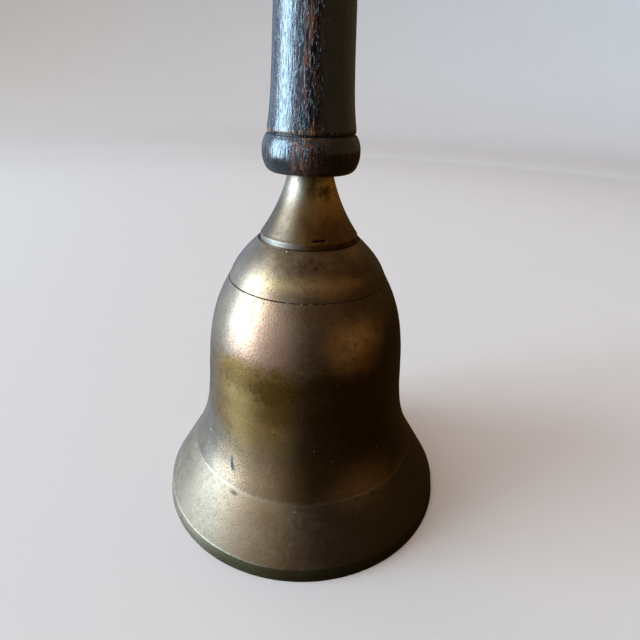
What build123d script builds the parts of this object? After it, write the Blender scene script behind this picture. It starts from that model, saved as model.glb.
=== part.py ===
from build123d import *
import os
from math import sqrt

# A brass hand bell with a turned hardwood handle, standing on its lip.
# Millimetres, +Z up. The origin is the centre of the mouth, on the plane that the lip stands on.
# A point of a turned outline is (radius, height).

# ---- driving dimensions: bell casting ----
mouth_radius = 45.0
mouth_inner_radius = 41.5
lip_band_radius, lip_band_height = 44.4, 3.9
ridge_radius, ridge_height = 35.6, 18.6
flare_point = (31.3, 30.6)                    # outer wall between the ridge and the waist
waist_radius, waist_height = 29.6, 46.0
upper_waist_point = (27.7, 60.7)
shoulder_radius, shoulder_height = 22.8, 72.6
ridge_direction, shoulder_direction = (-0.44, 1), (-0.5, 1)
line_depth, line_width = 0.6, 0.6             # turned line at the foot of the crown
crown_foot_radius = 22.1
crown_point = (19.3, 78.6)                    # halfway up the domed crown
seat_radius, seat_height = 14.3, 83.8         # flat on top of the crown, under the neck
crown_thickness = 4.0
crown_flat_radius = 11.5                      # flat under the crown, for the washer
crown_hole_radius = 5.2
inner_wall = ((18.8, 73.9), (24.9, 60.7), (26.9, 46.0), (28.5, 30.6), (32.9, 17.0))
bow_radius, bow_height = 36.9, 8.8            # inside corner of the thick striking ring
inner_top_direction, bow_direction = (1, -0.25), (0.55, -1)

# ---- driving dimensions: neck ----
flange_radius, flange_height = 13.5, 1.5
neck_point = (8.85, 93.2)                     # halfway up the hollow cone
neck_top_radius, neck_top_height = 5.9, 101.7
spigot_radius, spigot_length = 5.1, 3.2
tenon_radius, tenon_length = 4.6, 4.0

# ---- driving dimensions: handle ----
foot_radius = 11.0
lower_bulb_point = (12.4, 103.8)
bulb_radius, bulb_height = 12.85, 106.4
bulb_shoulder_radius = 11.9                   # where the bulb runs into the groove
groove_radius, groove_height = 11.1, 111.0
groove_below, groove_above = 0.3, 0.5         # the groove's two flanks
grip_foot_radius = 11.35
lower_grip_point = (10.3, 124.0)
grip_waist_radius, grip_waist_height = 9.7, 146.0
palm_radius, palm_height = 13.2, 183.0
upper_palm_point = (11.2, 199.5)
handle_top_radius, handle_top_height = 6.6, 206.0
foot_direction, bulb_top_direction = (0.75, 1), (-0.3, 1)
grip_direction, handle_top_direction = (-0.12, 1), (-1, 0.45)
wood_clearance = 0.1                          # play of the rod and the tenon in the wood
tenon_gap = 0.4                               # room past the tenon's end

# ---- driving dimensions: rod, washers and nuts ----
rod_radius = 2.5
rod_bore_radius = 2.7
rod_chamfer = 0.6
rod_taper = 2.4                               # length over which the eye's wire thickens to the rod
eye_ring_radius, eye_wire_radius = 5.4, 1.8
eye_centre_height = 64.8
crown_washer_radius, crown_washer_thickness, crown_washer_edge = 9.0, 1.4, 0.3
lock_washer_radius, lock_washer_thickness = 4.4, 1.2
lock_washer_gap, lock_washer_turn = 0.8, 20
crown_nut_flats, crown_nut_height = 8.0, 4.0
nut_crown_inset, nut_crown_drop = 0.1, 0.45   # the cone that takes a nut's corners off
top_washer_radius, top_washer_thickness, top_washer_edge = 6.3, 1.2, 0.5
finial_radius, finial_rim_height, finial_height = 5.2, 1.6, 6.6
finial_bore_depth = 4.2
rod_end_gap = 0.4                             # between the rod's end and the bottom of that bore
slot_width, slot_depth = 1.2, 1.2

# ---- driving dimensions: clapper ----
link_wire_radius = 1.3
link_pitch = 10.0                             # from the upper pivot to the lower one
clapper_wire_radius, clapper_rod_radius = 1.4, 1.5
clapper_eye_radius = 3.9
clapper_taper, clapper_chamfer = 2.1, 0.4
loop_clearance = 0.3                          # between wires that hang in each other
neck_in_wire = 0.3                            # how much slimmer than its wire a rod meets an eye
ball_radius, ball_centre_height = 8.5, 15.0
ball_flat = 7.9                               # ball centre to the spot faces under the nuts
ball_bore_radius = 1.6
clapper_nut_flats, clapper_nut_height = 5.5, 2.4
clapper_thread_end = 1.0                      # rod that stands out of the end nut
nut_bore_clearance = 0.05

# ---- heights that follow from them ----
crown_underside = seat_height - crown_thickness
washer_bottom = crown_underside - crown_washer_thickness
lock_washer_bottom = washer_bottom - lock_washer_thickness
crown_nut_bottom = lock_washer_bottom - crown_nut_height
top_washer_top = handle_top_height + top_washer_thickness
rod_top = top_washer_top + finial_bore_depth - rod_end_gap
link_pivot = eye_centre_height - eye_ring_radius          # centre of the eye's lowest wire
link_bend_radius = eye_wire_radius + link_wire_radius + loop_clearance
clapper_pivot = link_pivot - link_pitch                   # centre of the link's lowest wire
clapper_eye_top = clapper_pivot + link_wire_radius + clapper_wire_radius + loop_clearance
clapper_eye_centre = clapper_eye_top - clapper_eye_radius
jam_nut_bottom = ball_centre_height + ball_flat
end_nut_bottom = ball_centre_height - ball_flat - clapper_nut_height
clapper_end = end_nut_bottom - clapper_thread_end

os.makedirs("parts", exist_ok=True)


def save(part, name):
    part.label = name
    export_step(part, f"parts/{name}.step")
    state = "valid" if part.is_valid else "INVALID"
    box = part.bounding_box()
    print(f"{name:18s} {state} {part.volume:9.1f} mm3  z {box.min.Z:7.2f} to {box.max.Z:7.2f}")


# ---- bell_body: cast in one piece, so that it rings ----
crown_foot = (crown_foot_radius, shoulder_height + line_width)
with BuildPart() as bell_body:
    with BuildSketch(Plane.XZ):
        with BuildLine():
            Polyline((mouth_inner_radius, 0), (mouth_radius, 0), (lip_band_radius, lip_band_height),
                     (ridge_radius, ridge_height))
            Spline((ridge_radius, ridge_height), flare_point, (waist_radius, waist_height),
                   upper_waist_point, (shoulder_radius, shoulder_height),
                   tangents=(ridge_direction, shoulder_direction))
            Polyline((shoulder_radius, shoulder_height), (shoulder_radius - line_depth, shoulder_height),
                     (crown_foot_radius - line_depth, shoulder_height + line_width), crown_foot)
            ThreePointArc(crown_foot, crown_point, (seat_radius, seat_height))
            Polyline((seat_radius, seat_height), (crown_hole_radius, seat_height),
                     (crown_hole_radius, crown_underside), (crown_flat_radius, crown_underside))
            Spline((crown_flat_radius, crown_underside), *inner_wall, (bow_radius, bow_height),
                   tangents=(inner_top_direction, bow_direction))
            Line((bow_radius, bow_height), (mouth_inner_radius, 0))
        make_face()
    revolve(axis=Axis.Z)
save(bell_body.part, "bell_body")

# ---- neck: turned brass, its spigot in the crown and its tenon in the handle ----
flange_top = seat_height + flange_height
spigot_bottom = seat_height - spigot_length
tenon_top = neck_top_height + tenon_length
with BuildPart() as neck:
    with BuildSketch(Plane.XZ):
        with BuildLine():
            Polyline((rod_bore_radius, spigot_bottom), (spigot_radius, spigot_bottom),
                     (spigot_radius, seat_height), (flange_radius, seat_height), (flange_radius, flange_top))
            ThreePointArc((flange_radius, flange_top), neck_point, (neck_top_radius, neck_top_height))
            Polyline((neck_top_radius, neck_top_height), (tenon_radius, neck_top_height),
                     (tenon_radius, tenon_top), (rod_bore_radius, tenon_top),
                     (rod_bore_radius, spigot_bottom))
        make_face()
    revolve(axis=Axis.Z)
save(neck.part, "neck")

# ---- handle: one turned piece, bored for the rod and counterbored for the tenon ----
groove_lower, groove_upper = groove_height - groove_below, groove_height + groove_above
with BuildPart() as handle:
    with BuildSketch(Plane.XZ):
        with BuildLine():
            Line((0, neck_top_height), (foot_radius, neck_top_height))
            Spline((foot_radius, neck_top_height), lower_bulb_point, (bulb_radius, bulb_height),
                   (bulb_shoulder_radius, groove_lower), tangents=(foot_direction, bulb_top_direction))
            Polyline((bulb_shoulder_radius, groove_lower), (groove_radius, groove_height),
                     (grip_foot_radius, groove_upper))
            Spline((grip_foot_radius, groove_upper), lower_grip_point,
                   (grip_waist_radius, grip_waist_height), (palm_radius, palm_height), upper_palm_point,
                   (handle_top_radius, handle_top_height), tangents=(grip_direction, handle_top_direction))
            Polyline((handle_top_radius, handle_top_height), (0, handle_top_height), (0, neck_top_height))
        make_face()
    revolve(axis=Axis.Z)
    with BuildSketch(Plane.XY.offset(neck_top_height)):
        Circle(rod_bore_radius + wood_clearance)
    extrude(amount=handle_top_height - neck_top_height, mode=Mode.SUBTRACT)
    with BuildSketch(Plane.XY.offset(neck_top_height)):
        Circle(tenon_radius + wood_clearance)
    extrude(amount=tenon_length + tenon_gap, mode=Mode.SUBTRACT)
save(handle.part, "handle")


def wire_eye(ring_radius, wire_radius, centre_height):
    with BuildPart() as eye:                              # a ring of wire, standing in the XZ plane
        with BuildSketch(Plane.XY.offset(centre_height)):
            with Locations((ring_radius, 0)):
                Circle(wire_radius)
        revolve(axis=Axis((0, 0, centre_height), (0, 1, 0)))
    return eye.part


# ---- tie_rod: eye bolt through crown, neck and handle ----
rod_foot = eye_centre_height + eye_ring_radius - rod_chamfer      # inside the eye's top wire
with BuildPart() as tie_rod:
    add(wire_eye(eye_ring_radius, eye_wire_radius, eye_centre_height))
    with BuildSketch(Plane.XZ):
        with BuildLine():
            Polyline((0, rod_foot), (eye_wire_radius - neck_in_wire, rod_foot),
                     (rod_radius, rod_foot + rod_taper), (rod_radius, rod_top - rod_chamfer),
                     (rod_radius - rod_chamfer, rod_top), (0, rod_top), (0, rod_foot))
        make_face()
    revolve(axis=Axis.Z)
save(tie_rod.part, "tie_rod")


# ---- washers and nuts ----
def ring(outer, inner, bottom, thickness, edge):
    with BuildPart() as flat_ring:
        with BuildSketch(Plane.XY.offset(bottom)):
            Circle(outer)
            Circle(inner, mode=Mode.SUBTRACT)
        extrude(amount=thickness)
        rims = flat_ring.edges().filter_by(GeomType.CIRCLE).group_by(SortBy.RADIUS)[-1]
        fillet(rims, radius=edge)
    return flat_ring.part


def hexagon_nut(flats, bore, bottom, height):
    corner = flats / sqrt(3)
    face, rim = flats / 2 - nut_crown_inset, corner + nut_crown_inset
    top = bottom + height
    with BuildPart() as nut:
        with BuildSketch(Plane.XY.offset(bottom)):
            RegularPolygon(corner, 6)
            Circle(bore, mode=Mode.SUBTRACT)
        extrude(amount=height)
        with BuildSketch(Plane.XZ):                       # the turned cone that takes the corners off
            with BuildLine():
                Polyline((0, bottom), (face, bottom), (rim, bottom + nut_crown_drop),
                         (rim, top - nut_crown_drop), (face, top), (0, top), (0, bottom))
            make_face()
        revolve(axis=Axis.Z, mode=Mode.INTERSECT)
    return nut.part


crown_washer = ring(crown_washer_radius, rod_bore_radius, washer_bottom, crown_washer_thickness,
                    crown_washer_edge)
save(crown_washer, "crown_washer")

with BuildPart() as crown_lock_washer:
    with BuildSketch(Plane.XY.offset(lock_washer_bottom)):
        Circle(lock_washer_radius)
        Circle(rod_radius + wood_clearance, mode=Mode.SUBTRACT)
        with Locations((lock_washer_radius, 0)):
            Rectangle(2 * lock_washer_radius, lock_washer_gap, rotation=lock_washer_turn,
                      mode=Mode.SUBTRACT)
    extrude(amount=lock_washer_thickness)
save(crown_lock_washer.part, "crown_lock_washer")

crown_nut = hexagon_nut(crown_nut_flats, rod_radius + nut_bore_clearance, crown_nut_bottom, crown_nut_height)
save(crown_nut, "crown_nut")

top_washer = ring(top_washer_radius, rod_bore_radius, handle_top_height, top_washer_thickness,
                  top_washer_edge)
save(top_washer, "top_washer")

# ---- finial_nut: blind dome nut with a screwdriver slot ----
rim_top = top_washer_top + finial_rim_height
finial_top = top_washer_top + finial_height
dome_rise = finial_height - finial_rim_height
dome_radius = (finial_radius**2 + dome_rise**2) / (2 * dome_rise)
with BuildPart() as finial_nut:
    with BuildSketch(Plane.XZ):
        with BuildLine():
            Polyline((0, finial_top), (0, top_washer_top), (finial_radius, top_washer_top),
                     (finial_radius, rim_top))
            RadiusArc((finial_radius, rim_top), (0, finial_top), -dome_radius)
        make_face()
    revolve(axis=Axis.Z)
    with BuildSketch(Plane.XY.offset(top_washer_top)):
        Circle(rod_radius + nut_bore_clearance)
    extrude(amount=finial_bore_depth, mode=Mode.SUBTRACT)
    with BuildSketch(Plane.XY.offset(finial_top - slot_depth)):
        Rectangle(4 * finial_radius, slot_width)
    extrude(amount=2 * slot_depth, mode=Mode.SUBTRACT)
save(finial_nut.part, "finial_nut")

# ---- clapper_link: oval link, its long way down, in the YZ plane ----
link_plane = Plane(origin=(0, 0, link_pivot), x_dir=(0, 1, 0), z_dir=(1, 0, 0))
lower_bend = clapper_pivot + link_bend_radius - link_pivot       # seen from the link pivot
with BuildPart() as clapper_link:
    with BuildLine(link_plane) as link_path:
        CenterArc((0, 0), link_bend_radius, 0, 180)
        Line((-link_bend_radius, 0), (-link_bend_radius, lower_bend))
        CenterArc((0, lower_bend), link_bend_radius, 180, 180)
        Line((link_bend_radius, lower_bend), (link_bend_radius, 0))
    with BuildSketch(Plane(origin=(0, link_bend_radius, link_pivot))):
        Circle(link_wire_radius)
    sweep(path=link_path.wires()[0])
save(clapper_link.part, "clapper_link")

# ---- clapper_shank: rod with a bent eye in the XZ plane ----
shank_top = clapper_eye_centre - clapper_eye_radius + clapper_chamfer     # inside the eye's lowest wire
with BuildPart() as clapper_shank:
    add(wire_eye(clapper_eye_radius, clapper_wire_radius, clapper_eye_centre))
    with BuildSketch(Plane.XZ):
        with BuildLine():
            Polyline((0, shank_top), (clapper_wire_radius - neck_in_wire, shank_top),
                     (clapper_rod_radius, shank_top - clapper_taper),
                     (clapper_rod_radius, clapper_end + clapper_chamfer),
                     (clapper_rod_radius - clapper_chamfer, clapper_end), (0, clapper_end), (0, shank_top))
        make_face()
    revolve(axis=Axis.Z)
save(clapper_shank.part, "clapper_shank")

# ---- clapper ball and its two nuts ----
with BuildPart() as clapper_ball:
    with Locations((0, 0, ball_centre_height)):
        Sphere(ball_radius)
    for side in (1, -1):
        with BuildSketch(Plane.XY.offset(ball_centre_height + side * ball_flat)):
            Circle(ball_radius)
        extrude(amount=side * ball_radius, mode=Mode.SUBTRACT)
    with BuildSketch(Plane.XY.offset(ball_centre_height - ball_radius)):
        Circle(ball_bore_radius)
    extrude(amount=2 * ball_radius, mode=Mode.SUBTRACT)
save(clapper_ball.part, "clapper_ball")

nut_bore = clapper_rod_radius + nut_bore_clearance
for name, bottom in (("clapper_jam_nut", jam_nut_bottom), ("clapper_end_nut", end_nut_bottom)):
    save(hexagon_nut(clapper_nut_flats, nut_bore, bottom, clapper_nut_height), name)

print(f"link pivot z {link_pivot:.2f}, clapper pivot z {clapper_pivot:.2f}, rod end z {clapper_end:.2f}")
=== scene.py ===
import math
import bpy
import bmesh
from mathutils import Matrix, Vector, noise


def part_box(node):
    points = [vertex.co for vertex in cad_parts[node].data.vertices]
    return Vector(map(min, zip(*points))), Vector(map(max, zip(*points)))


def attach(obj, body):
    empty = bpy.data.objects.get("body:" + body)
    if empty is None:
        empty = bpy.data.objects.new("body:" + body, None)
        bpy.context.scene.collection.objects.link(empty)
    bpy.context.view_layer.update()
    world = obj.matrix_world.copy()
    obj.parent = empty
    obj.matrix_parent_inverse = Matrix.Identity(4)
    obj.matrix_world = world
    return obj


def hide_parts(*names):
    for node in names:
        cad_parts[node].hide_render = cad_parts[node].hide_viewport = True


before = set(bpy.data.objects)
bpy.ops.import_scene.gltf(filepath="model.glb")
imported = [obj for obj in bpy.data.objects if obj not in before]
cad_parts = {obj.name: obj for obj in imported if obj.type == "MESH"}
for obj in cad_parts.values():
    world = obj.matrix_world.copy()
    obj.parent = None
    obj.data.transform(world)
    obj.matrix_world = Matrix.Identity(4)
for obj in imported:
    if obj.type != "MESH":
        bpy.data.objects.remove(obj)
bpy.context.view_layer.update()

mm = 0.001
fullTurn = 2 * math.pi
scene = bpy.context.scene


def nodeBox(name):                                   # lowest and highest corner of a CAD node, in mm
    low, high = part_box(name)
    return low / mm, high / mm


# Shader helpers: a Sock is one output socket, and sums on it add Math nodes.
class Sock:
    def __init__(self, nodes, socket):
        self.nodes = nodes
        self.socket = socket

    def math(self, operation, *others):
        return self.nodes.add("ShaderNodeMath", {"operation": operation}, [self, *others])

    def __add__(self, other):
        return self.math("ADD", other)

    def __sub__(self, other):
        return self.math("SUBTRACT", other)

    def __rsub__(self, other):
        return self.nodes.add("ShaderNodeMath", {"operation": "SUBTRACT"}, [other, self])

    def __mul__(self, other):
        return self.math("MULTIPLY", other)

    __radd__ = __add__
    __rmul__ = __mul__


class NodeTree:
    def __init__(self, tree):
        self.tree = tree

    def put(self, socket, value):
        if isinstance(value, Sock):
            self.tree.links.new(value.socket, socket)
        elif value is not None:
            socket.default_value = value

    def add(self, kind, settings, inputs, output=0):
        node = self.tree.nodes.new(kind)
        for key, value in settings.items():
            if key == "stops":
                while len(node.color_ramp.elements) < len(value):
                    node.color_ramp.elements.new(0.5)
                for element, (at, colour) in zip(node.color_ramp.elements, value):
                    element.position = at
                    element.color = (*colour, 1)
            else:
                setattr(node, key, value)
        pairs = inputs.items() if isinstance(inputs, dict) else enumerate(inputs)
        for key, value in pairs:
            self.put(node.inputs[key], value)
        return Sock(self, node.outputs[output])

    def step(self, value, low, high):                # 0 at low and 1 at high, eased; low may be the larger
        ends = [0.0, 1.0] if low < high else [1.0, 0.0]
        return self.add("ShaderNodeMapRange", {"interpolation_type": "SMOOTHSTEP"},
                        [value, min(low, high), max(low, high), *ends])

    def near(self, value, centre, inner, outer):     # 1 within inner of centre, 0 past outer
        return self.step((value - centre).math("ABSOLUTE"), outer, inner)

    def mix(self, factor, a, b):
        ends = [(*value, 1) if isinstance(value, tuple) else value for value in (a, b)]
        return self.add("ShaderNodeMix", {"data_type": "RGBA", "clamp_factor": True},
                        {0: factor, 6: ends[0], 7: ends[1]}, 2)

    def tinted(self, colour, mask, tint):            # a tint is (strength, colour), laid on where mask is 1
        strength, paint = tint
        return self.mix(mask * strength, colour, paint)

    def ramp(self, value, stops):
        return self.add("ShaderNodeValToRGB", {"stops": stops}, {"Fac": value}, "Color")

    def axes(self, vector, scale=1.0):
        split = self.add("ShaderNodeSeparateXYZ", {}, [vector])
        return [Sock(self, output) * scale for output in split.socket.node.outputs]


# A Finish is a material on Object coordinates. All its sizes and places are in millimetres.
class Finish(NodeTree):
    def __init__(self, name):
        self.material = bpy.data.materials.new(name)
        self.material.use_nodes = True
        super().__init__(self.material.node_tree)
        self.shader = next(n for n in self.tree.nodes if n.type == "BSDF_PRINCIPLED")
        self.place = self.add("ShaderNodeTexCoord", {}, {}, "Object")
        self.x, self.y, self.z = self.axes(self.place, 1 / mm)

    def moved(self, scale, shift=(0, 0, 0)):
        return self.add("ShaderNodeMapping", {}, {"Vector": self.place, "Scale": scale, "Location": shift})

    def noise(self, size, detail=4, rough=0.55, stretch=(1, 1, 1), shift=(0, 0, 0)):
        pattern = {"Vector": self.moved(stretch, shift), "Scale": 1 / (size * mm), "Detail": detail,
                   "Roughness": rough}
        return self.add("ShaderNodeTexNoise", {}, pattern, "Fac")

    def dots(self, spacing, radius, shift=(0, 0, 0)):        # round spots, one in each cell
        pattern = {"Vector": self.moved((1, 1, 1), shift), "Scale": 1 / (spacing * mm)}
        apart = self.add("ShaderNodeTexVoronoi", {}, pattern, "Distance")
        return self.step(apart, radius / spacing, 0.5 * radius / spacing)

    def blob(self, centre, radii, edge, ragged=0):   # 1 in an ellipsoid, fading out over its edge
        scale = tuple(1 / (r * mm) for r in radii)
        shift = tuple(-c / r for c, r in zip(centre, radii))
        moved = self.moved(scale, shift)
        away = self.add("ShaderNodeVectorMath", {"operation": "LENGTH"}, {0: moved}, "Value")
        return self.step(away + ragged, 1 + edge, 1 - edge)

    def stroke(self, start, end, width):             # a thin line on the front, between two (x, z) points
        along = Vector((end[0] - start[0], end[1] - start[1]))
        length = along.length
        along.normalize()
        fromX = self.x - start[0]
        fromZ = self.z - start[1]
        run = fromX * along.x + fromZ * along.y
        off = fromX * along.y - fromZ * along.x
        onLine = self.near(off, 0, 0.3 * width, width)
        return onLine * self.near(run, length / 2, 0.35 * length, 0.5 * length) * self.step(self.y, 0, -1)

    def bump(self, height, strength, depth):
        relief = {"Height": height, "Strength": strength, "Distance": depth * mm}
        return self.add("ShaderNodeBump", {}, relief, "Normal")

    def done(self, colour, roughness, metallic=0.0, normal=None, **fixed):
        sockets = self.shader.inputs
        self.put(sockets["Base Color"], colour)
        self.put(sockets["Roughness"], roughness)
        self.put(sockets["Metallic"], metallic)
        self.put(sockets["Normal"], normal)
        for name, value in fixed.items():
            self.put(sockets[name.replace("_", " ")], value)
        return self.material


# Mesh helpers. A point of an outline is (radius, height), with a 1 after it where the line has a corner.
def outline(points, closed=False, samples=10):
    curve = bpy.data.curves.new("outline", "CURVE")
    curve.dimensions = "3D"
    curve.resolution_u = samples
    spline = curve.splines.new("BEZIER")
    spline.bezier_points.add(len(points) - 1)
    for knot, point in zip(spline.bezier_points, points):
        knot.co = (point[0] * mm, 0, point[1] * mm)
        knot.handle_left_type = knot.handle_right_type = "VECTOR" if len(point) > 2 else "AUTO"
    spline.use_cyclic_u = closed
    holder = bpy.data.objects.new("outline", curve)
    mesh = bpy.data.meshes.new_from_object(holder)
    bm = bmesh.new()
    bm.from_mesh(mesh)
    bpy.data.objects.remove(holder)
    bpy.data.curves.remove(curve)
    bpy.data.meshes.remove(mesh)
    bmesh.ops.remove_doubles(bm, verts=bm.verts, dist=0.01 * mm)
    return bm


def tidy(bm):                                        # merges seams and poles, points the faces outwards
    bmesh.ops.remove_doubles(bm, verts=bm.verts, dist=0.002 * mm)
    bmesh.ops.dissolve_degenerate(bm, dist=0.001 * mm, edges=bm.edges)
    bmesh.ops.recalc_face_normals(bm, faces=bm.faces)
    return bm


def turned(points, steps, closed=False, samples=10):
    bm = outline(points, closed, samples)
    bmesh.ops.spin(bm, geom=bm.verts[:] + bm.edges[:], cent=(0, 0, 0), axis=(0, 0, 1), angle=fullTurn,
                   steps=steps, use_merge=True, use_duplicate=False)
    return tidy(bm)


def soften(bm, width, angle=25, where=None):         # rounds the sharp edges
    sharp = [e for e in bm.edges if e.is_manifold and e.calc_face_angle(0) > math.radians(angle)
             and (where is None or where(e))]
    bmesh.ops.bevel(bm, geom=sharp, offset=width * mm, offset_type="OFFSET", segments=2, profile=0.5,
                    affect="EDGES", material=-1, clamp_overlap=True)
    return bm


def join(bm, other):                                 # puts the second bmesh into the first
    mesh = bpy.data.meshes.new("joined")
    other.to_mesh(mesh)
    other.free()
    bm.from_mesh(mesh)
    bpy.data.meshes.remove(mesh)
    return bm


def fillEnds(bm):
    bmesh.ops.holes_fill(bm, edges=[e for e in bm.edges if e.is_boundary], sides=0)
    return tidy(bm)


# A bent wire eye in the XZ plane. Its angles run from the top, in degrees.
def wireEye(ringRadius, wireRadius, centreHeight, startAngle, sweep, steps, sides):
    bm = bmesh.new()
    bmesh.ops.create_circle(bm, cap_ends=False, segments=sides, radius=wireRadius * mm)
    centre = Vector((0, 0, centreHeight * mm))
    across = Matrix.Rotation(math.pi / 2, 3, "Y")
    start = Matrix.Rotation(math.radians(startAngle), 3, "Y")
    bmesh.ops.rotate(bm, verts=bm.verts, cent=(0, 0, 0), matrix=across)
    bmesh.ops.translate(bm, verts=bm.verts, vec=centre + Vector((0, 0, ringRadius * mm)))
    bmesh.ops.rotate(bm, verts=bm.verts, cent=centre, matrix=start)
    bmesh.ops.spin(bm, geom=bm.verts[:] + bm.edges[:], cent=centre, axis=(0, 1, 0), steps=steps,
                   angle=math.radians(sweep), use_merge=False, use_duplicate=False)
    return soften(fillEnds(bm), 0.15, 50)


def threadRidge(rootRadius, crestRadius, low, high, pitch, steps=24):
    bm = bmesh.new()                                 # one ridge round the rod, sunk a little into its core
    root = rootRadius - 0.08
    crest = crestRadius - 0.04
    section = [(root, 0), (crest, 0.44 * pitch), (crest, 0.56 * pitch), (root, 0.98 * pitch)]
    corners = [bm.verts.new((r * mm, 0, (low + h) * mm)) for r, h in section]
    edges = [bm.edges.new((a, b)) for a, b in zip(corners, corners[1:] + corners[:1])]
    turns = (high - low) / pitch - 1
    bmesh.ops.spin(bm, geom=corners + edges, cent=(0, 0, 0), axis=(0, 0, 1), angle=fullTurn * turns,
                   dvec=(0, 0, pitch * mm / steps), steps=round(steps * turns), use_merge=False,
                   use_duplicate=False)
    return fillEnds(bm)


def piece(name, bm, body, nodes, finishes):
    mesh = bpy.data.meshes.new(name)
    bm.to_mesh(mesh)
    bm.free()
    mesh.polygons.foreach_set("use_smooth", [True] * len(mesh.polygons))
    mesh.update()
    thing = bpy.data.objects.new(name, mesh)
    scene.collection.objects.link(thing)
    for finish in finishes:
        mesh.materials.append(finish)
    thing.modifiers.new("evenShading", "WEIGHTED_NORMAL")
    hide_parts(*nodes)
    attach(thing, body)
    print("made", name, len(mesh.polygons), "faces")
    return thing


tarnishTint = (0.040, 0.024, 0.012)                  # colours that the bell and its neck share
dirtTint = (0.010, 0.008, 0.006)

# Zones are the two ends of a fade, along one axis. Patches are (centre, radii, edge). Tints are
# (strength, colour).
casting = {
    "outer": [(41.5, 0.0, 1), (45.0, 0.0, 1), (44.4, 3.9, 1), (35.6, 18.6, 1), (33.1, 24.4), (31.3, 30.6),
              (30.2, 38.0), (29.6, 46.0), (28.9, 54.0), (27.7, 60.7), (25.7, 66.8), (22.85, 72.55),
              (22.74, 72.76, 1), (22.45, 72.84, 1), (22.55, 72.98, 1), (21.1, 76.0), (19.3, 78.6),
              (16.9, 81.3), (14.3, 83.8, 1), (5.2, 83.8, 1)],
    "inner": [(5.2, 79.8, 1), (11.5, 79.8, 1), (15.6, 77.6), (18.8, 73.9), (22.6, 67.5), (24.9, 60.7),
              (26.9, 46.0), (28.5, 30.6), (32.9, 17.0), (36.9, 8.8, 1)],
    "crownUnder": 80, "crownFlat": 12,               # height and radius of the flat under the crown
    "steps": 240, "softEdge": 0.14,
    "unevenness": 0.10, "slowWave": 0.055, "quickWave": 0.14,    # waviness of the cast and hand-turned wall
    "waveFoot": 3.0, "waveTop": 83.5, "waveTopFade": 4.0,
    "lineHeight": 72.86, "ridgeHeight": 18.6, "bandHeight": 3.9,
    "roughness": 0.275, "metal": 0.96, "bumpStrength": 0.6, "bumpDepth": 0.10,
    "brown": [(0.41, (0.110, 0.058, 0.024)), (0.50, (0.240, 0.134, 0.062)), (0.59, (0.370, 0.222, 0.115))],
    "zones": {
        "front": (0, -8), "hazeAndSheen": (-5, -20), "lowShade": (-9, 3), "lowShadeTop": (58, 52),
        "lowShadeFoot": (12, 24), "highShade": (1, 13), "highShadeFoot": (50, 56), "highShadeTop": (84, 78),
        "ochreTop": (58, 53), "ochreFoot": (24, 40), "ochreRight": (1, -8), "ochreLeft": (-30, -20),
        "yellowFoot": (56, 48), "lipGrey": (-4, 16), "lipTarnishAndShade": (-13, 8), "warmTop": (34, 24),
        "cloud": (14, -6), "pits": (44, 60), "specks": (10, 20), "greenLip": (4.2, 3.6),
        "greenLipLeft": (-39, -20), "lineLeft": (4, -8), "ridgeLeft": (-6, -24), "bandLeft": (0, -22),
    },
    "patches": {
        "rose": ((-10, -24, 62), (10, 12, 10), 0.6),
        "copperReflection": ((12.5, -24, 62), (6.5, 8, 5.5), 0.95),
        "crownCopperReflection": ((3, -19, 76.5), (10, 8, 1.8), 0.8),
        "darkEdgePatch": ((-13, -24, 52), (12, 14, 4.5), 0.6),
        "darkMiddlePatch": ((-6, -28, 46.5), (7.5, 9, 7), 0.6),
        "rust": ((18, -31, 22), (8, 9, 5), 0.8),
        "glint": ((0, -22, 73), (6, 4, 2), 0.5),
        "dripTop": ((-20.3, -26.0, 25.0), (0.4, 2.5, 1.5), 0.3),
        "dripFoot": ((-20.0, -26.6, 23.6), (0.6, 2.5, 0.9), 0.3),
        "lipDrip": ((-19.3, -30.7, 17.6), (1.0, 2.0, 0.5), 0.5),
    },
    "scratch": ((-7.7, 31.0), (-12.8, 18.8), 0.14),  # from, to and width
    "tints": {
        "hazeAndSheen": (0.5, (0.290, 0.235, 0.195)), "rose": (0.6, (0.540, 0.255, 0.150)),
        "shade": (0.8, (0.085, 0.049, 0.017)), "copperReflection": (1.0, (0.980, 0.540, 0.205)),
        "ochre": (0.85, (0.350, 0.184, 0.048)), "olive": (1.0, (0.520, 0.318, 0.112)),
        "darkOchreEdge": (0.75, (0.145, 0.066, 0.010)), "lipGrey": (1.0, (0.235, 0.158, 0.094)),
        "lipTarnishAndShade": (0.6, tarnishTint), "warm": (0.35, (0.500, 0.230, 0.080)),
        "rust": (0.2, (0.980, 0.540, 0.205)), "bloom": (0.15, (0.270, 0.225, 0.160)),
        "pepper": (1.0, tarnishTint), "pits": (0.7, dirtTint), "specks": (0.8, (0.80, 0.76, 0.66)),
        "greenLip": (1.0, (0.060, 0.052, 0.020)), "line": (1.0, dirtTint),
        "glint": (1.0, (0.80, 0.76, 0.66)), "worn": (0.6, (0.62, 0.52, 0.38)),
        "scratch": (0.16, (0.62, 0.52, 0.38)), "verdigris": (0.85, (0.048, 0.060, 0.056)),
    },
}


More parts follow.
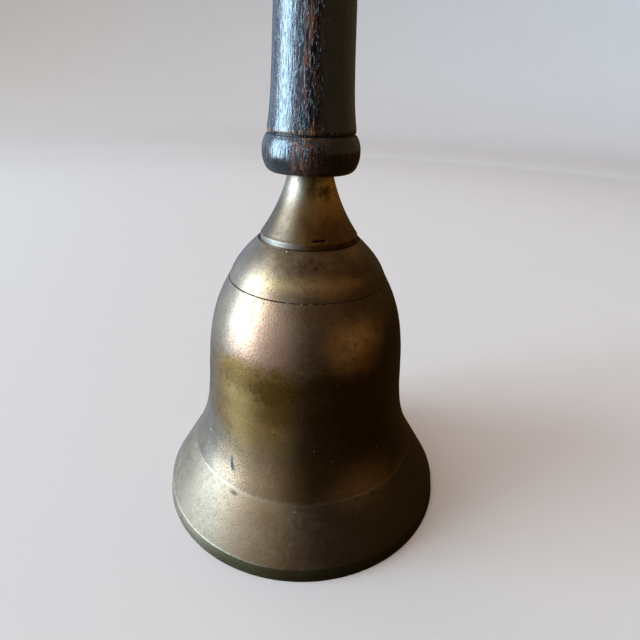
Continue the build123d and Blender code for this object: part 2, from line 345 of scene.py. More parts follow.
def castingFinish():
    f = Finish("agedBellBrass")
    zones = casting["zones"]
    patches = casting["patches"]
    tints = casting["tints"]
    large = f.noise(22, 3, 0.5)
    middle = f.noise(7, 5, 0.6, shift=(3, 1, 5))
    fine = f.noise(1.7, 4, 0.65, shift=(7, 2, 1))
    grit = f.noise(0.5, 3, 0.7, shift=(2, 9, 4))
    ragged = (middle - 0.5) * 1.6 + (fine - 0.5) * 1.3 + (grit - 0.5)    # makes an edge uneven
    front = f.step(f.y, *zones["front"])
    colour = f.ramp(large * 0.3 + middle * 0.3 + fine * 0.25 + grit * 0.15, casting["brown"])

    # a grey film on the lit left side, partly patina and partly a painted sheen; a rose patch; painted shade
    # over the front right; and painted warm reflections on the shoulder's right and the crown
    hazeAndSheen = f.step(f.x + ragged * 3, *zones["hazeAndSheen"]) * (1 - f.near(f.z, 45, 7, 14) * 0.8)
    colour = f.tinted(colour, hazeAndSheen, tints["hazeAndSheen"])
    colour = f.tinted(colour, f.blob(*patches["rose"], ragged), tints["rose"])
    low = f.step(f.x + ragged * 5, *zones["lowShade"]) * f.step(f.z + ragged * 3, *zones["lowShadeTop"])
    low = low * f.step(f.z, *zones["lowShadeFoot"])
    high = f.step(f.x + ragged * 4, *zones["highShade"])
    high = high * f.step(f.z, *zones["highShadeFoot"]) * f.step(f.z, *zones["highShadeTop"])
    shade = (low + high).math("MINIMUM", 1) * front
    colour = f.tinted(colour, shade, tints["shade"])
    # painted reflection: orange-brown patches on the shoulder's right and the crown stand in for a warm
    # light's reflection
    copperReflection = f.blob(*patches["copperReflection"], ragged) + f.blob(*patches["crownCopperReflection"], ragged) * 0.5
    copperReflection = copperReflection * (0.35 + f.step(fine * 0.5 + grit * 0.5, 0.42, 0.58) * 0.65)
    colour = f.tinted(colour, copperReflection, tints["copperReflection"])

    # the ochre patch on the waist, with an olive streak and a dark upper edge
    ochreArea = f.step(f.z + ragged * 4, *zones["ochreTop"]) * f.step(f.z + ragged * 7, *zones["ochreFoot"]) * front
    ochreArea = ochreArea * f.step(f.x + ragged * 4, *zones["ochreRight"]) * f.step(f.x, *zones["ochreLeft"])
    colour = f.tinted(colour, ochreArea, tints["ochre"])
    yellow = ochreArea * f.near(f.x + ragged * 3, -18, 0.5, 6.5) * f.step(f.z + ragged * 4, *zones["yellowFoot"])
    colour = f.tinted(colour, yellow, tints["olive"])
    darkOchreEdge = f.blob(*patches["darkEdgePatch"], ragged) * 0.7 + f.blob(*patches["darkMiddlePatch"], ragged)
    colour = f.tinted(colour, darkOchreEdge, tints["darkOchreEdge"])

    # the dull lip below the ridge, and the warm areas over it and above it
    ridge = casting["ridgeHeight"]
    lip = f.step(f.z + (fine - 0.5) * 0.5, ridge + 0.1, ridge - 0.1)
    lipGrey = lip * (0.35 + f.step(f.x + ragged * 5, *zones["lipGrey"]) * 0.35)
    colour = f.tinted(colour, lipGrey, tints["lipGrey"])
    # the lip darker towards the right: tarnish and painted shade
    colour = f.tinted(colour, lip * f.step(f.x + ragged * 5, *zones["lipTarnishAndShade"]), tints["lipTarnishAndShade"])
    warm = f.near(f.x + ragged * 4, -11, 3, 17) * f.step(f.z + ragged * 4, *zones["warmTop"]) * front
    colour = f.tinted(colour, warm, tints["warm"])
    colour = f.tinted(colour, f.blob(*patches["rust"], ragged), tints["rust"])
    cloud = lip * f.step(middle * 0.6 + fine * 0.4, 0.44, 0.62) * f.step(f.x, *zones["cloud"])
    colour = f.tinted(colour, cloud, tints["bloom"])

    # pepper, pits and bright specks
    pepper = f.step(grit * 0.6 + fine * 0.4, 0.51, 0.62)
    colour = f.tinted(colour, pepper * (0.42 - lip * 0.2), tints["pepper"])
    pits = f.dots(1.3, 0.15) * f.step(middle, 0.40, 0.58) * f.step(f.z, *zones["pits"])
    colour = f.tinted(colour, pits, tints["pits"])
    specks = f.dots(5.5, 0.24, shift=(1, 2, 7)) * f.step(f.z, *zones["specks"])
    colour = f.tinted(colour, specks, tints["specks"])

    # the green lip band, the turned line with a painted glint, rubbed edges lightened more at the left as a
    # painted highlight, a scratch and spots of verdigris
    greenLip = f.step(f.z, *zones["greenLip"]) * (0.6 + fine * 0.5) * f.step(f.x, *zones["greenLipLeft"])
    colour = f.tinted(colour, greenLip, tints["greenLip"])
    line = f.near(f.z, casting["lineHeight"], 0.05, 0.15)
    colour = f.tinted(colour, line * (0.35 + f.step(f.x, *zones["lineLeft"]) * 0.65), tints["line"])
    glint = line * f.step(grit, 0.52, 0.6) * f.blob(*patches["glint"])
    colour = f.tinted(colour, glint, tints["glint"])
    # painted highlight along the ridge and the band's edge, strongest at the left where the lamp falls, with
    # some rubbed wear
    ridgeRubAndHighlight = f.near(f.z, ridge + 0.2, 0.1, 0.6) * (0.15 + f.step(f.x, *zones["ridgeLeft"]) * 0.05)
    bandEdgeHighlight = f.near(f.z, casting["bandHeight"], 0.08, 0.28) * f.step(f.x, *zones["bandLeft"])
    worn = (ridgeRubAndHighlight + bandEdgeHighlight) * f.step(fine, 0.25, 0.55)
    colour = f.tinted(colour, worn, tints["worn"])
    scratch = f.stroke(*casting["scratch"]) * f.step(fine, 0.40, 0.62)
    colour = f.tinted(colour, scratch, tints["scratch"])
    green = f.blob(*patches["dripTop"]) + f.blob(*patches["dripFoot"])
    green = green + f.blob(*patches["lipDrip"], ragged * 0.5) * 0.7
    colour = f.tinted(colour, green, tints["verdigris"])

    rough = fine * 0.16 + pepper * 0.10 + lip * 0.09 + cloud * 0.08 + casting["roughness"]
    rough = rough - worn * 0.08 + pits * 0.25 + green * 0.3
    height = middle * 0.8 + fine * 0.5 + grit * 0.7 - pits * 0.8 + specks * 0.8 - scratch * 0.2
    metal = casting["metal"] - green * 0.7 - hazeAndSheen * 0.12
    return f.done(colour, rough, metal, f.bump(height, casting["bumpStrength"], casting["bumpDepth"]))


# The inner wall. The clapper strikes it at the front and at the back.
inside = {
    "clouds": [(0.3, (0.075, 0.052, 0.030)), (0.55, (0.170, 0.120, 0.062)), (0.75, (0.210, 0.170, 0.100))],
    "grit": (0.6, (0.040, 0.030, 0.018)), "struck": (0.7, (0.66, 0.50, 0.26)),
    "strikeReach": 36, "strikeHeight": 9, "strikeRadii": (3.5, 4, 3), "roughness": 0.55, "metal": 0.8,
}


def insideFinish():
    f = Finish("castInside")
    large = f.noise(14, 4, 0.6)
    grit = f.noise(0.9, 4, 0.7, shift=(4, 4, 4))
    colour = f.ramp(large, inside["clouds"])
    colour = f.tinted(colour, f.step(grit, 0.5, 0.75), inside["grit"])
    reach = inside["strikeReach"]
    height = inside["strikeHeight"]
    struck = f.blob((0, reach, height), inside["strikeRadii"], 0.7)
    struck = struck + f.blob((0, -reach, height), inside["strikeRadii"], 0.7)
    colour = f.tinted(colour, struck * f.step(grit, 0.42, 0.58), inside["struck"])
    rough = inside["roughness"] + grit * 0.2 - struck * 0.25
    return f.done(colour, rough, inside["metal"], f.bump(grit, 0.6, 0.25))


def makeCasting():
    bm = turned(casting["outer"] + casting["inner"], casting["steps"], closed=True)
    soften(bm, casting["softEdge"])
    for face in bm.faces:                            # the inner wall gets its own finish
        c = face.calc_center_median() / mm
        away = Vector((c.x, c.y, 0))
        underCrown = c.z < casting["crownUnder"] and away.length < casting["crownFlat"]
        face.material_index = 1 if underCrown or face.normal.dot(away.normalized()) < -0.05 else 0
    for v in bm.verts:                               # slow waviness, but none at the foot and the neck's seat
        at = v.co / mm
        out = Vector((at.x, at.y, 0)).normalized()
        hold = min(1.0, at.z / casting["waveFoot"])
        hold *= min(1.0, max(0.0, (casting["waveTop"] - at.z) / casting["waveTopFade"]))
        wave = noise.noise(at * casting["slowWave"]) * 0.7
        wave += noise.noise(at * casting["quickWave"] + Vector((9, 3, 5))) * 0.3
        v.co += out * wave * casting["unevenness"] * hold * mm
    return piece("bellCasting", bm, "bell", ["bell_body"], [castingFinish(), insideFinish()])


neckSpec = {
    "flangeRadius": 13.5, "flangeHeight": 1.5, "steps": 200, "softEdge": 0.12,
    "flawHeight": 86.15, "flawFrom": -84.5, "flawTo": -71, "flawDepth": 0.35,
    "roughness": 0.34, "metal": 0.92,
    "brown": [(0.36, (0.105, 0.044, 0.010)), (0.50, (0.170, 0.071, 0.016)), (0.64, (0.250, 0.112, 0.030))],
    "stainPatch": ((0.6, -7, 99), (0.9, 4, 6), 0.6), "flawPatch": ((2.7, -12.6, 86), (1.8, 3, 2), 0.1),
    "tints": {
        "hazeAndSheen": (0.6, (0.140, 0.108, 0.084)), "lit": (0.6, (0.420, 0.330, 0.240)),
        "gold": (0.65, (0.900, 0.490, 0.140)), "stain": (0.7, (0.060, 0.036, 0.016)),
        "pepper": (0.5, tarnishTint), "seat": (1.0, dirtTint), "flaw": (1.0, dirtTint),
        "flangeHighlight": (0.4, (0.66, 0.60, 0.50)),
    },
}


def neckFinish():
    f = Finish("agedNeckBrass")
    tints = neckSpec["tints"]
    streak = f.noise(2.6, 4, 0.6, stretch=(1, 1, 0.22))
    middle = f.noise(5.0, 4, 0.6, shift=(5, 2, 8))
    fine = f.noise(1.3, 5, 0.7, shift=(1, 6, 2))
    grit = f.noise(0.45, 3, 0.7, shift=(5, 1, 4))
    colour = f.ramp(streak * 0.4 + fine * 0.35 + middle * 0.25, neckSpec["brown"])
    # a grey film on the lit left side, partly patina and partly a painted sheen
    colour = f.tinted(colour, f.step(f.x + (middle - 0.5) * 3, 0, -6), tints["hazeAndSheen"])
    colour = f.tinted(colour, f.step(f.z, 92, 99) * f.step(f.x, 0, -3), tints["lit"])
    golden = f.step(f.z, 87, 99) * f.step(middle, 0.30, 0.50) * f.step(f.x, -2, 2)
    colour = f.tinted(colour, golden, tints["gold"])
    stain = f.blob(*neckSpec["stainPatch"]) * f.step(streak, 0.35, 0.6)
    colour = f.tinted(colour, stain, tints["stain"])
    pepper = f.step(grit * 0.6 + fine * 0.4, 0.51, 0.62)
    colour = f.tinted(colour, pepper, tints["pepper"])
    colour = f.tinted(colour, f.step(f.z, 84.0, 83.85), tints["seat"])
    flaw = f.near(f.z, neckSpec["flawHeight"], 0.12, 0.3) * f.blob(*neckSpec["flawPatch"])
    colour = f.tinted(colour, flaw, tints["flaw"])
    # painted highlight: a pale band on the neck's rim at the left
    colour = f.tinted(colour, f.step(f.z, 85.35, 85.2) * f.step(f.x, 2, -10), tints["flangeHighlight"])
    rough = neckSpec["roughness"] + fine * 0.12 + pepper * 0.14 + stain * 0.1
    height = fine * 0.5 + grit * 0.7 + streak * 0.4
    return f.done(colour, rough, neckSpec["metal"], f.bump(height, 0.5, 0.09))


def makeNeck():
    low, high = nodeBox("neck")
    seat = nodeBox("bell_body")[1].z
    wood = nodeBox("handle")[0].z
    rim = neckSpec["flangeRadius"]
    top = seat + neckSpec["flangeHeight"]
    flaw = neckSpec["flawHeight"]
    half = 0.22                                      # half the height of the casting flaw
    points = [(2.7, low.z, 1), (5.1, low.z, 1), (5.1, seat, 1), (rim, seat, 1), (rim, top, 1),
              (13.02, flaw - half), (12.74, flaw + half), (11.36, 88.5), (10.0, 90.9), (8.85, 93.2),
              (7.67, 96.0), (6.64, 99.0), (5.9, wood, 1), (4.6, wood, 1), (4.6, high.z, 1), (2.7, high.z, 1)]
    bm = turned(points, neckSpec["steps"], closed=True, samples=6)
    slot = []
    for face in bm.faces:
        c = face.calc_center_median() / mm
        angle = math.degrees(math.atan2(c.y, c.x))
        inFlaw = abs(c.z - flaw) < half and neckSpec["flawFrom"] < angle < neckSpec["flawTo"]
        if inFlaw and c.xy.length > 12:
            slot.append(face)
    bmesh.ops.inset_region(bm, faces=slot, thickness=0.06 * mm, depth=-neckSpec["flawDepth"] * mm,
                           use_even_offset=True)
    soften(bm, neckSpec["softEdge"], where=lambda e: abs((e.verts[0].co.z / mm) - flaw) > 0.5)
    return piece("neckCone", bm, "bell", ["neck"], [neckFinish()])


poreTint = (0.0020, 0.0013, 0.0010)

handleSpec = {
    "steps": 180, "softEdge": 0.2, "unevenness": 0.07, "grooveHeight": 111.0,
    "roughness": 0.12, "bumpStrength": 0.9, "bumpDepth": 0.11, "gloss": 0.95,
    "wood": [(0.40, (0.0022, 0.0011, 0.0007)), (0.51, (0.0070, 0.0026, 0.0014)),
             (0.61, (0.0520, 0.0175, 0.0075))],
    "longStreak": ((-1.3, -10, 128), (1.3, 4, 45), 0.7), "footStreak": ((-3.2, -12, 106), (1.8, 4, 5), 0.6),
    "red": (0.7, (0.220, 0.070, 0.024)), "pore": (0.8, poreTint), "worn": (0.75, (0.270, 0.155, 0.080)),
    "groove": (1.0, poreTint),
}


def woodFinish():
    f = Finish("darkTurnedWood")
    grain = f.noise(0.8, 4, 0.6, stretch=(1, 1, 0.07))
    broad = f.noise(5.0, 3, 0.5, stretch=(1, 1, 0.10), shift=(3, 7, 1))
    pores = f.noise(0.26, 2, 0.5, stretch=(1, 1, 0.13), shift=(8, 1, 3))
    ripple = f.noise(0.65, 3, 0.55, stretch=(1, 1, 0.20), shift=(2, 5, 7))
    colour = f.ramp(grain * 0.6 + broad * 0.4, handleSpec["wood"])
    # red-brown grain along the highlight's edge: partly the wood's colour, partly painted light where the
    # lamp falls
    redLitGrain = f.blob(*handleSpec["longStreak"]) * f.step(grain, 0.46, 0.60)
    redLitGrain = redLitGrain + f.blob(*handleSpec["footStreak"]) * f.step(grain, 0.48, 0.62)
    colour = f.tinted(colour, redLitGrain, handleSpec["red"])
    openPore = f.step(pores, 0.54, 0.66)
    colour = f.tinted(colour, openPore, handleSpec["pore"])
    groove = handleSpec["grooveHeight"]
    wornGrain = f.step(pores * 0.5 + grain * 0.5, 0.46, 0.56)
    worn = f.near(f.z, groove + 0.8, 0.1, 0.9) * wornGrain * (0.3 + f.step(f.x, 4, -4) * 0.7)
    colour = f.tinted(colour, worn, handleSpec["worn"])
    colour = f.tinted(colour, f.near(f.z, groove - 0.05, 0.1, 0.3), handleSpec["groove"])
    rough = handleSpec["roughness"] + openPore * 0.12 + grain * 0.08
    fade = 0.25 + f.step(f.z, 206, 190) * 0.75       # the domed top is worn smoother
    height = (ripple + grain * 0.6 + broad * 2.5 - openPore * 0.3) * fade
    bump = f.bump(height, handleSpec["bumpStrength"], handleSpec["bumpDepth"])
    return f.done(colour, rough, 0.0, bump, Specular_IOR_Level=handleSpec["gloss"])


def makeHandle():
    low, high = nodeBox("handle")
    groove = handleSpec["grooveHeight"]
    points = [(2.8, low.z, 1), (10.6, low.z, 1), (11.3, low.z + 0.4), (12.3, 103.6), (12.85, 106.4),
              (12.5, 109.2), (11.75, groove - 0.25, 1), (11.15, groove, 1), (11.4, groove + 0.45),
              (11.1, 114.5), (10.7, 118.0), (10.3, 124.0), (9.95, 133.0), (9.7, 146.0), (10.5, 160.0),
              (12.1, 172.0), (13.2, 183.0), (12.9, 192.0), (11.2, 199.5), (8.9, 204.3), (6.6, high.z, 1),
              (2.8, high.z, 1)]
    bm = turned(points, handleSpec["steps"], closed=True)
    soften(bm, handleSpec["softEdge"])
    for v in bm.verts:                               # a little out of true, as wood turned by hand
        at = v.co / mm
        out = Vector((at.x, at.y, 0))
        if out.length > 7:
            wave = noise.noise(Vector((at.x * 0.09, at.y * 0.09, at.z * 0.03)))
            v.co += out.normalized() * wave * handleSpec["unevenness"] * mm
    return piece("turnedHandle", bm, "bell", ["handle"], [woodFinish()])


steels = {
    "drawnRodSteel": {"light": (0.36, 0.35, 0.33), "dark": (0.17, 0.16, 0.15), "rust": (0.115, 0.052, 0.024),
                      "roughness": 0.34, "stretch": (1, 1, 0.15)},
    "dullPlatedSteel": {"light": (0.46, 0.45, 0.41), "dark": (0.24, 0.23, 0.21),
                        "rust": (0.150, 0.085, 0.045), "roughness": 0.30, "stretch": (1, 1, 1)},
}


def steelFinish(name):
    f = Finish(name)
    steel = steels[name]
    cloud = f.noise(3.5, 4, 0.6, shift=(4, 1, 2))
    fine = f.noise(0.6, 4, 0.6, stretch=steel["stretch"], shift=(1, 8, 3))
    colour = f.mix(f.step(cloud, 0.35, 0.65), steel["dark"], steel["light"])
    rusty = f.step(cloud * 0.5 + fine * 0.5, 0.55, 0.66)
    colour = f.mix(rusty * 0.75, colour, steel["rust"])
    return f.done(colour, steel["roughness"] + fine * 0.2 + rusty * 0.2, 1.0 - rusty * 0.6,
                  f.bump(fine + rusty * 0.6, 0.3, 0.05))


brasses = {
    "handledFittingBrass": {"bright": (0.52, 0.37, 0.17), "dull": (0.27, 0.18, 0.085),
                            "tarnish": (0.075, 0.050, 0.026), "turningMarks": 0.3},
    "turnedBallBrass": {"bright": (0.50, 0.35, 0.16), "dull": (0.22, 0.15, 0.075),
                        "tarnish": (0.060, 0.040, 0.022), "turningMarks": 0.8},
}


def fittingFinish(name):
    f = Finish(name)
    brass = brasses[name]
    cloud = f.noise(3.0, 4, 0.6, shift=(2, 2, 9))
    fine = f.noise(0.7, 4, 0.65, shift=(6, 3, 1))
    rings = f.noise(0.35, 2, 0.5, stretch=(0.05, 0.05, 1), shift=(3, 3, 3))
    colour = f.mix(f.step(cloud, 0.3, 0.65), brass["dull"], brass["bright"])
    colour = f.mix(f.step(fine, 0.52, 0.72) * 0.6, colour, brass["tarnish"])
    height = fine * 0.6 + rings * brass["turningMarks"]
    return f.done(colour, 0.26 + fine * 0.2, 0.95, f.bump(height, 0.3, 0.05), Coat_Weight=0.2,
                  Coat_Roughness=0.25)


rod = {"radius": 2.5, "root": 2.12, "pitch": 0.8, "wire": 1.8, "ring": 5.4, "eyeStart": 21, "sides": 40}


def makeTieRod(finish):
    low, high = nodeBox("tie_rod")
    eyeTop = low.z + 2 * (rod["wire"] + rod["ring"]) - rod["wire"]
    nutTop = nodeBox("crown_nut")[1].z
    washer = nodeBox("top_washer")[0].z
    thick = rod["radius"]
    root = rod["root"]
    core = [(0, eyeTop - 0.9, 1), (1.55, eyeTop - 0.7, 1), (1.75, eyeTop + 0.3), (2.3, eyeTop + 1.6),
            (root + 0.08, eyeTop + 2.4, 1), (root, eyeTop + 2.7, 1), (root, nutTop + 2.4, 1),
            (thick, nutTop + 2.9, 1), (thick, washer - 1.4, 1), (root, washer - 0.9, 1),
            (root, high.z - 0.6, 1), (1.5, high.z, 1), (0, high.z, 1)]
    bm = turned(core, rod["sides"], samples=5)
    eye = wireEye(rod["ring"], rod["wire"], low.z + rod["wire"] + rod["ring"], rod["eyeStart"],
                  360 - rod["eyeStart"], 72, rod["sides"])
    join(bm, eye)
    join(bm, threadRidge(root, thick, eyeTop + 2.3, nutTop + 2.4, rod["pitch"]))
    join(bm, threadRidge(root, thick, washer - 0.9, high.z - 0.3, rod["pitch"]))
    return piece("tieRod", bm, "bell", ["tie_rod"], [finish])


nuts = {
    "crownNut": {"node": "crown_nut", "body": "bell", "flats": 8.0, "bore": 2.55, "drop": 0.45},
    "clapperJamNut": {"node": "clapper_jam_nut", "body": "clapper", "flats": 5.5, "bore": 1.55, "drop": 0.4},
    "clapperEndNut": {"node": "clapper_end_nut", "body": "clapper", "flats": 5.5, "bore": 1.55, "drop": 0.4},
}


def hexNut(name, finish):
    nut = nuts[name]
    low, high = nodeBox(nut["node"])
    bore = nut["bore"]
    drop = nut["drop"]                               # how far the chamfer comes down at the corners
    corner = nut["flats"] / math.sqrt(3) + 0.1
    face = nut["flats"] / 2 - 0.1
    lead = 0.3                                       # chamfer at both ends of the bore
    points = [(bore, low.z + lead, 1), (bore + lead, low.z, 1), (face, low.z, 1),
              (corner, low.z + drop, 1), (corner, high.z - drop, 1), (face, high.z, 1),
              (bore + lead, high.z, 1), (bore, high.z - lead, 1)]
    bm = turned(points, 96, closed=True, samples=4)
    for side in range(6):
        angle = math.radians(30 + 60 * side)
        out = Vector((math.cos(angle), math.sin(angle), 0))
        cut = bmesh.ops.bisect_plane(bm, geom=bm.verts[:] + bm.edges[:] + bm.faces[:], dist=0.0001 * mm,
                                     plane_co=out * nut["flats"] / 2 * mm, plane_no=out, clear_outer=True)
        rim = [e for e in cut["geom_cut"] if isinstance(e, bmesh.types.BMEdge)]
        bmesh.ops.contextual_create(bm, geom=rim)
    tidy(bm)
    soften(bm, 0.10, 20)
    return piece(name, bm, nut["body"], [nut["node"]], [finish])


washers = {
    "crownWasher": {"node": "crown_washer", "slot": "dull_steel", "bore": 2.7, "edge": 0.3},
    "topWasher": {"node": "top_washer", "slot": "fitting_brass", "bore": 2.7, "edge": 0.5},
}


def flatWasher(name, finish):
    washer = washers[name]
    low, high = nodeBox(washer["node"])              # punched: rounded at the top edge, chamfered underneath
    rim = high.x
    bore = washer["bore"]
    edge = washer["edge"]
    points = [(bore, low.z, 1), (rim - 0.2, low.z, 1), (rim, low.z + 0.25, 1), (rim, high.z - edge, 1),
              (rim - 0.3 * edge, high.z - 0.3 * edge), (rim - edge, high.z, 1), (bore + 0.2, high.z, 1),
              (bore, high.z - 0.2, 1)]
    bm = turned(points, 96, closed=True, samples=6)
    soften(bm, 0.06)
    return piece(name, bm, "bell", [washer["node"]], [finish])


spring = {"outer": 4.4, "inner": 2.6, "gap": 0.8, "turn": 20, "rise": 0.16, "steps": 80}


def makeLockWasher(finish):
    low, high = nodeBox("crown_lock_washer")         # a split ring whose ends stand a little apart
    outer = spring["outer"]
    inner = spring["inner"]
    top = high.z - spring["rise"]
    section = [(inner, low.z, 1), (outer, low.z, 1), (outer, top, 1), (inner, top, 1)]
    bm = outline(section, closed=True, samples=3)
    gapAngle = spring["gap"] / outer * 1.25
    start = Matrix.Rotation(math.radians(spring["turn"]) + gapAngle / 2, 3, "Z")
    bmesh.ops.rotate(bm, verts=bm.verts, cent=(0, 0, 0), matrix=start)
    bmesh.ops.spin(bm, geom=bm.verts[:] + bm.edges[:], cent=(0, 0, 0), axis=(0, 0, 1),
                   angle=fullTurn - gapAngle, dvec=(0, 0, spring["rise"] * mm / spring["steps"]),
                   steps=spring["steps"], use_merge=False, use_duplicate=False)
    fillEnds(bm)
    soften(bm, 0.10)
    return piece("crownLockWasher", bm, "bell", ["crown_lock_washer"], [finish])


finial = {"domeTop": 6.6, "rim": 1.6, "bore": 2.55, "boreDepth": 4.2, "slotWidth": 1.2, "slotDepth": 1.2}


def makeFinial(finish):
    low, high = nodeBox("finial_nut")
    radius = high.x
    top = low.z + finial["domeTop"]
    rise = top - low.z - finial["rim"]
    dome = (radius ** 2 + rise ** 2) / (2 * rise)
    reach = math.asin(radius / dome)
    arc = [(dome * math.sin(reach * (1 - k / 6)), top - dome + dome * math.cos(reach * (1 - k / 6)))
           for k in range(1, 6)]
    shoulder = low.z + finial["rim"]
    points = [(0, low.z + finial["boreDepth"], 1), (finial["bore"], low.z + finial["boreDepth"], 1),
              (finial["bore"], low.z + 0.3, 1), (finial["bore"] + 0.3, low.z, 1), (radius - 0.25, low.z, 1),
              (radius, low.z + 0.25, 1), (radius, shoulder - 0.3, 1), (radius - 0.3, shoulder - 0.1, 1),
              (radius - 0.1, shoulder + 0.1, 1), *arc, (0, top, 1)]
    bm = turned(points, 128, samples=8)
    half = finial["slotWidth"] / 2 * mm
    floor = (top - finial["slotDepth"]) * mm
    for point, normal in (((0, half, 0), (0, 1, 0)), ((0, -half, 0), (0, 1, 0)), ((0, 0, floor), (0, 0, 1))):
        bmesh.ops.bisect_plane(bm, geom=bm.verts[:] + bm.edges[:] + bm.faces[:], dist=0.0001 * mm,
                               plane_co=point, plane_no=normal)
    middles = [(face, face.calc_center_median()) for face in bm.faces]
    inSlot = [face for face, c in middles if abs(c.y) < half and c.z > floor]
    bmesh.ops.delete(bm, geom=inSlot, context="FACES")
    ends = {}
    for side in (half, -half):                       # the slot's two walls, then its floor
        rims = [e for e in bm.edges if e.is_boundary]
        arcEdges = [e for e in rims if all(abs(v.co.y - side) < 1e-6 for v in e.verts)]
        corners = sorted({v for e in arcEdges for v in e.verts if abs(v.co.z - floor) < 1e-6},
                         key=lambda v: v.co.x)
        ends[side] = bm.edges.new((corners[0], corners[-1]))
        bmesh.ops.contextual_create(bm, geom=arcEdges + [ends[side]])
    rest = [e for e in bm.edges if e.is_boundary and all(abs(v.co.z - floor) < 1e-6 for v in e.verts)]
    bmesh.ops.contextual_create(bm, geom=rest)
    tidy(bm)
    soften(bm, 0.07, 40, where=lambda e: e.verts[0].co.z > (shoulder + 1) * mm)
    return piece("finialNut", bm, "bell", ["finial_nut"], [finish])


linkSpec = {"wire": 1.3, "bend": 3.4, "sides": 32, "parts": 8, "weld": 0.07}


def makeLink(finish):
    low, high = nodeBox("clapper_link")
    bend = linkSpec["bend"]
    upper = high.z - linkSpec["wire"] - bend         # centres of the two bends
    lower = low.z + linkSpec["wire"] + bend
    parts = linkSpec["parts"]
    bead = parts // 2 - 1                            # the part of a side whose end is halfway up
    bm = bmesh.new()
    bmesh.ops.create_circle(bm, cap_ends=False, segments=linkSpec["sides"], radius=linkSpec["wire"] * mm)
    bmesh.ops.translate(bm, verts=bm.verts, vec=(0, bend * mm, upper * mm))
    loop = bm.verts[:] + bm.edges[:]
    for centre, run in ((upper, lower - upper), (lower, upper - lower)):
        turn = bmesh.ops.spin(bm, geom=loop, cent=(0, 0, centre * mm), axis=(1, 0, 0), angle=math.pi,
                              steps=32, use_merge=False, use_duplicate=False)
        loop = turn["geom_last"]
        for part in range(parts):                    # a straight side, with the weld's bead on the second
            edges = [g for g in loop if isinstance(g, bmesh.types.BMEdge)]
            grown = bmesh.ops.extrude_edge_only(bm, edges=edges)["geom"]
            loop = [g for g in grown if not isinstance(g, bmesh.types.BMFace)]
            verts = [g for g in loop if isinstance(g, bmesh.types.BMVert)]
            bmesh.ops.translate(bm, verts=verts, vec=(0, 0, run / parts * mm))
            if run > 0 and part in (bead, bead + 1):
                centreLine = Vector((0, sum(v.co.y for v in verts) / len(verts), verts[0].co.z))
                growth = 1 + linkSpec["weld"] if part == bead else 1 / (1 + linkSpec["weld"])
                for v in verts:
                    v.co = centreLine + (v.co - centreLine) * growth
    tidy(bm)
    return piece("clapperLink", bm, "link", ["clapper_link"], [finish])


shank = {"wire": 1.4, "ring": 3.9, "radius": 1.5, "root": 1.24, "pitch": 0.5, "threadTop": 28.0,
         "eyeStart": 202, "eyeSweep": 338, "sides": 32}


def makeShank(finish):
    low, high = nodeBox("clapper_shank")
    centre = high.z - shank["wire"] - shank["ring"]
    eyeFoot = centre - shank["ring"]
    thick = shank["radius"]
    root = shank["root"]
    threadTop = shank["threadTop"]
    core = [(0, eyeFoot + 0.8, 1), (1.15, eyeFoot + 0.6, 1), (1.3, eyeFoot - 0.5), (thick, eyeFoot - 1.8, 1),
            (thick, threadTop + 0.3, 1), (root, threadTop, 1), (root, low.z + 0.4, 1), (0.9, low.z, 1),
            (0, low.z, 1)]
    bm = turned(core, shank["sides"], samples=5)
    eye = wireEye(shank["ring"], shank["wire"], centre, shank["eyeStart"], shank["eyeSweep"], 64,
                  shank["sides"])
    join(bm, eye)
    join(bm, threadRidge(root, thick, low.z + 0.2, threadTop + 0.1, shank["pitch"], 18))
    return piece("clapperShank", bm, "clapper", ["clapper_shank"], [finish])


ball = {"radius": 8.5, "bore": 1.6, "bruise": 2.6, "bruiseDepth": 0.22, "dents": 14, "dentTurn": 2.4,
        "dentDepth": 0.05}


def makeBall(finish):
    low, high = nodeBox("clapper_ball")
    centre = (low.z + high.z) / 2
    radius = ball["radius"]
    bore = ball["bore"]
    reach = math.asin((high.z - low.z) / 2 / radius)
    arc = [(radius * math.cos(reach * k / 8), centre + radius * math.sin(reach * k / 8))
           for k in range(-7, 8)]
    edge = radius * math.cos(reach)
    points = [(bore, low.z + 0.3, 1), (bore + 0.3, low.z, 1), (edge, low.z, 1), *arc, (edge, high.z, 1),
              (bore + 0.3, high.z, 1), (bore, high.z - 0.3, 1)]
    bm = turned(points, 160, closed=True, samples=6)
    soften(bm, 0.12)
    middle = Vector((0, 0, centre))
    for side in (1, -1):                             # struck flat where it meets the bell, dents round it
        for k in range(ball["dents"]):
            angle = k * ball["dentTurn"]
            spread = 0 if k == 0 else 0.08 + 0.022 * k
            aside = math.sin(spread)
            aim = Vector((aside * math.cos(angle), side * math.cos(spread), aside * math.sin(angle)))
            width = ball["bruise"] if k == 0 else 0.5 + 0.25 * (k % 3)
            depth = ball["bruiseDepth"] if k == 0 else ball["dentDepth"]
            strike = middle + aim * radius
            for v in bm.verts:
                away = (v.co / mm - strike).length
                if away < width:
                    v.co -= aim * depth * (1 - (away / width) ** 2) * mm
    tidy(bm)
    return piece("clapperBall", bm, "clapper", ["clapper_ball"], [finish])


print("making the bell, its neck and its handle")
makeCasting()
makeNeck()
makeHandle()
print("making the rod and what holds it")
rodSteel = steelFinish("drawnRodSteel")
platedSteel = steelFinish("dullPlatedSteel")
fittingBrass = fittingFinish("handledFittingBrass")
ballBrass = fittingFinish("turnedBallBrass")
makeTieRod(rodSteel)
flatWasher("crownWasher", platedSteel)
makeLockWasher(platedSteel)
hexNut("crownNut", platedSteel)
flatWasher("topWasher", fittingBrass)
makeFinial(fittingBrass)
print("making the clapper")
makeLink(rodSteel)
makeShank(rodSteel)
makeBall(ballBrass)
hexNut("clapperJamNut", platedSteel)
hexNut("clapperEndNut", platedSteel)

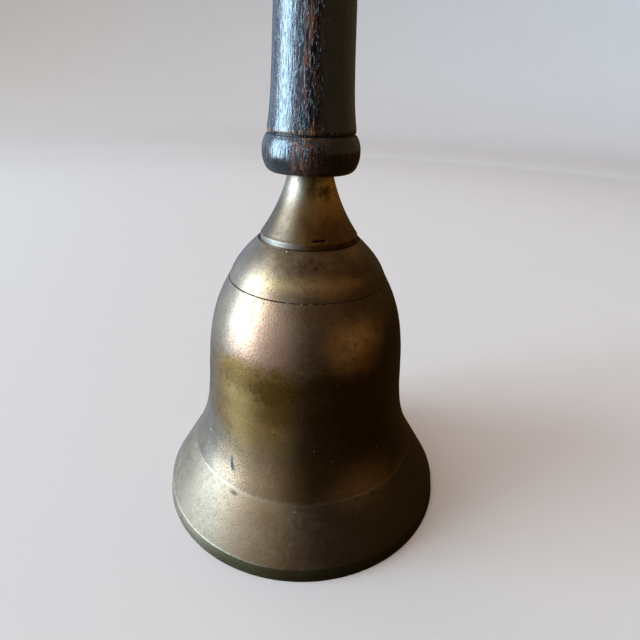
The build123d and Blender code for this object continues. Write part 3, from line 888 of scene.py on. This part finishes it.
stage = {
    "sweep": [(0, 0, 1), (900, 0, 1), (1180, 60), (1420, 240), (1560, 500), (1600, 800, 1), (1600, 2400, 1)],
    "floorColour": (0.69, 0.620, 0.570), "patchColour": (0.66, 0.592, 0.543), "patchSize": 40,
    "shadeNearWindow": (1.0, (0.50, 0.420, 0.370)), "windowShadePatch": ((-550, -150, 0), (650, 650, 400), 0.7),
    "roughness": 0.7,
}


def makeStage():
    bm = turned(stage["sweep"], 96, samples=12)      # a floor that curves up into a wall all round
    mesh = bpy.data.meshes.new("floor")
    bm.to_mesh(mesh)
    bm.free()
    mesh.polygons.foreach_set("use_smooth", [True] * len(mesh.polygons))
    floor = bpy.data.objects.new("floor", mesh)
    scene.collection.objects.link(floor)
    f = Finish("paleFloor")
    colour = f.mix(f.noise(stage["patchSize"], 4, 0.5), stage["floorColour"], stage["patchColour"])
    # painted shade: the floor is darker near the window lamp, holding back its pool of light
    colour = f.tinted(colour, f.blob(*stage["windowShadePatch"]), stage["shadeNearWindow"])
    mesh.materials.append(f.done(colour, stage["roughness"]))
    floor.visible_glossy = False                     # the metal mirrors the dim room instead of the floor
    floor.visible_diffuse = False
    floor.visible_shadow = False


lights = {                                           # in metres and watts
    "window": {"place": (-0.95, -0.16, 0.30), "size": (0.65, 0.85), "power": 25,
               "colour": (0.53, 0.79, 1.0)},
    "overhead": {"place": (-0.2, 0.1, 1.5), "size": (1.8, 1.8), "power": 20, "colour": (1.0, 0.94, 0.90)},
}

lightAim = 0.09                                      # height that both lights point at, in metres

room = {
    "windowSide": (0.55, 0.77, 1.10), "darkSide": (0.022, 0.013, 0.005), "rightSide": (0.16, 0.122, 0.072),
    "ceiling": (0.16, 0.115, 0.068), "tableLit": (0.38, 0.46, 0.58), "tableDark": (0.050, 0.029, 0.008),
}


def makeLights():
    for name, lamp in lights.items():
        data = bpy.data.lights.new(name, "AREA")
        data.shape = "RECTANGLE"
        data.size, data.size_y = lamp["size"]
        data.energy = lamp["power"]
        data.color = lamp["colour"]
        thing = bpy.data.objects.new(name, data)
        scene.collection.objects.link(thing)
        thing.location = lamp["place"]
        thing.rotation_mode = "QUATERNION"
        aim = Vector((0, 0, lightAim)) - thing.location
        thing.rotation_quaternion = aim.to_track_quat("-Z", "Y")
        thing.visible_glossy = name == "window"      # the metal doesn't mirror the overhead light
    world = bpy.data.worlds.new("room")
    scene.world = world
    world.use_nodes = True
    w = NodeTree(world.node_tree)
    x, _, z = w.axes(w.add("ShaderNodeTexCoord", {}, {}, "Generated"))
    left = w.step(x, -0.06, -0.62)
    above = w.mix(w.step(x, 0.15, 0.60), room["darkSide"], room["rightSide"])
    above = w.mix(w.step(z, 0.25, 0.70), above, room["ceiling"])
    above = w.mix(left, above, room["windowSide"])
    below = w.mix(left, room["tableDark"], room["tableLit"])
    background = next(n for n in world.node_tree.nodes if n.type == "BACKGROUND")
    w.put(background.inputs["Color"], w.mix(w.step(z, -0.10, 0.02), below, above))


# in millimetres and degrees; the focal length is for a sensor 36 mm wide
camera = {"distance": 129.7, "height": 120.3, "down": 25.7, "turned": 1.78, "tilted": 2.27, "focal": 26.48}


def makeCamera():
    down, turned, tilted = (math.radians(camera[k]) for k in ("down", "turned", "tilted"))
    ahead = Vector((math.sin(turned) * math.cos(down), math.cos(turned) * math.cos(down), -math.sin(down)))
    level = ahead.cross(Vector((0, 0, 1))).normalized()
    upright = level.cross(ahead)
    across = level * math.cos(tilted) + upright * math.sin(tilted)
    upward = upright * math.cos(tilted) - level * math.sin(tilted)
    data = bpy.data.cameras.new("camera")
    data.sensor_width = 36
    data.lens = camera["focal"]
    data.clip_start = 0.005
    data.clip_end = 20
    eye = bpy.data.objects.new("camera", data)
    scene.collection.objects.link(eye)
    turn = Matrix((across, upward, -ahead)).transposed().to_4x4()
    eye.matrix_world = Matrix.Translation((0, -camera["distance"] * mm, camera["height"] * mm)) @ turn
    scene.camera = eye


print("setting the stage")
makeStage()
makeLights()
makeCamera()
scene.view_settings.view_transform = "Standard"
